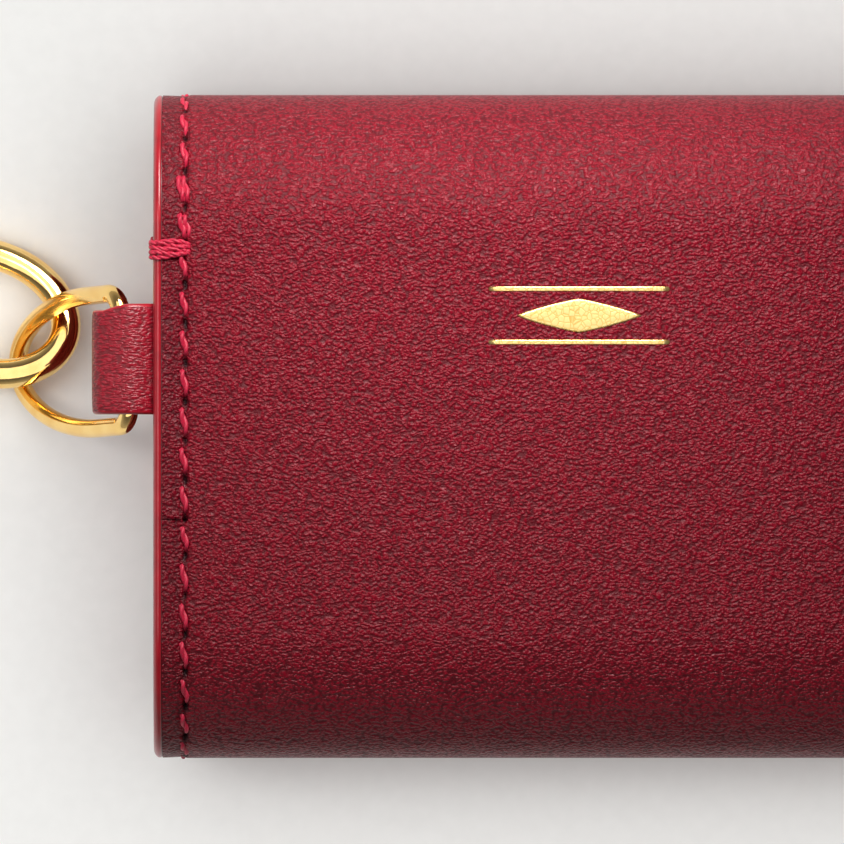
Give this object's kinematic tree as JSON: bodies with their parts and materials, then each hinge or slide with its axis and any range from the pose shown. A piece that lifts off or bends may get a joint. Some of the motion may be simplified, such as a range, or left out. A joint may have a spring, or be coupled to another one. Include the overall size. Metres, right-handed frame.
{
  "type": "card holder",
  "caption": "Small gusseted flap card holder in red calf leather, with a stitched D-ring tab and a gold oval spring-gate ring.",
  "frame": {"origin": "centre of the flap's flat outer face, the face the holder lies on", "axes": "+X along the width away from the ring tab, +Y up to the top fold, +Z from the flap's face to the back panel's face"},
  "size_m": [0.1264, 0.075, 0.025],
  "materials": {
    "calf_leather": "satin",
    "lining_leather": "matte",
    "padding": "matte",
    "thread": "satin",
    "gold": "polished",
    "foil": "satin",
    "steel": "satin"
  },
  "bodies": {
    "back_shell": {"back_panel": "calf_leather", "back_interlining": "padding", "back_lining": "lining_leather", "gusset_left": "lining_leather", "gusset_right": "lining_leather", "thread_back_left": "thread", "thread_back_right": "thread", "bar_tack_back_left": "thread", "bar_tack_back_right": "thread", "ring_tab": "calf_leather", "foil_lozenge": "foil", "foil_bar_top": "foil", "foil_bar_bottom": "foil"},
    "flap": {"flap_panel": "calf_leather", "flap_interlining": "padding", "flap_lining": "lining_leather", "thread_flap": "thread", "magnet_cup": "gold", "magnet": "steel", "magnet_washer": "steel"},
    "front_shell": {"front_panel": "calf_leather", "front_interlining": "padding", "front_lining": "lining_leather", "thread_front": "thread", "bar_tack_front_left": "thread", "bar_tack_front_right": "thread", "snap_plate": "gold", "snap_washer": "steel"},
    "card_divider_front": {"divider_front": "lining_leather"},
    "card_divider_back": {"divider_back": "lining_leather"},
    "tab_ring": {"d_ring": "gold"},
    "spring_ring": {"gate_ring": "gold", "gate_pin": "steel", "gate_spring": "steel"},
    "ring_gate": {"gate": "gold"}
  },
  "joints": [
    {"name": "flap_hinge", "type": "hinge", "parent": "back_shell", "child": "flap", "pos_m": [0, 0.0375, 0.0125], "axis": [1, 0, 0], "range_deg": [0, 170]},
    {"name": "front_hinge", "type": "hinge", "parent": "back_shell", "child": "front_shell", "pos_m": [0, -0.0375, 0.0145], "axis": [-1, 0, 0], "range_deg": [0, 8.5], "deforming": ["gusset_left", "gusset_right"]},
    {"name": "divider_front_hinge", "type": "hinge", "parent": "back_shell", "child": "card_divider_front", "pos_m": [0, -0.034, 0.01153], "axis": [-1, 0, 0], "range_deg": [0, 5.8]},
    {"name": "divider_back_hinge", "type": "hinge", "parent": "back_shell", "child": "card_divider_back", "pos_m": [0, -0.034, 0.01747], "axis": [-1, 0, 0], "range_deg": [0, 2.9]},
    {"name": "d_ring_hinge", "type": "hinge", "parent": "back_shell", "child": "tab_ring", "pos_m": [-0.0512, 0.0076, 0.02115], "axis": [-0.0872, 0.9962, 0], "range_deg": [-15, 100]},
    {"name": "gate_ring_hinge", "type": "hinge", "parent": "tab_ring", "child": "spring_ring", "pos_m": [-0.06355, 0.00652, 0.00107], "axis": [-0.0872, 0.9962, 0], "range_deg": [-5, 80]},
    {"name": "gate_hinge", "type": "hinge", "parent": "spring_ring", "child": "ring_gate", "pos_m": [-0.0712, 0.01979, 0.00172], "axis": [-0.0294, 0.196, 0.9802], "range_deg": [0, 25], "stiffness_Nm_per_rad": 0.02, "springref_deg": -17.19}
  ],
  "couplings": [
    {"joint": "front_hinge", "follows": "flap_hinge", "ratio": 0.05},
    {"joint": "divider_front_hinge", "follows": "flap_hinge", "ratio": 0.034},
    {"joint": "divider_back_hinge", "follows": "flap_hinge", "ratio": 0.017}
  ]
}
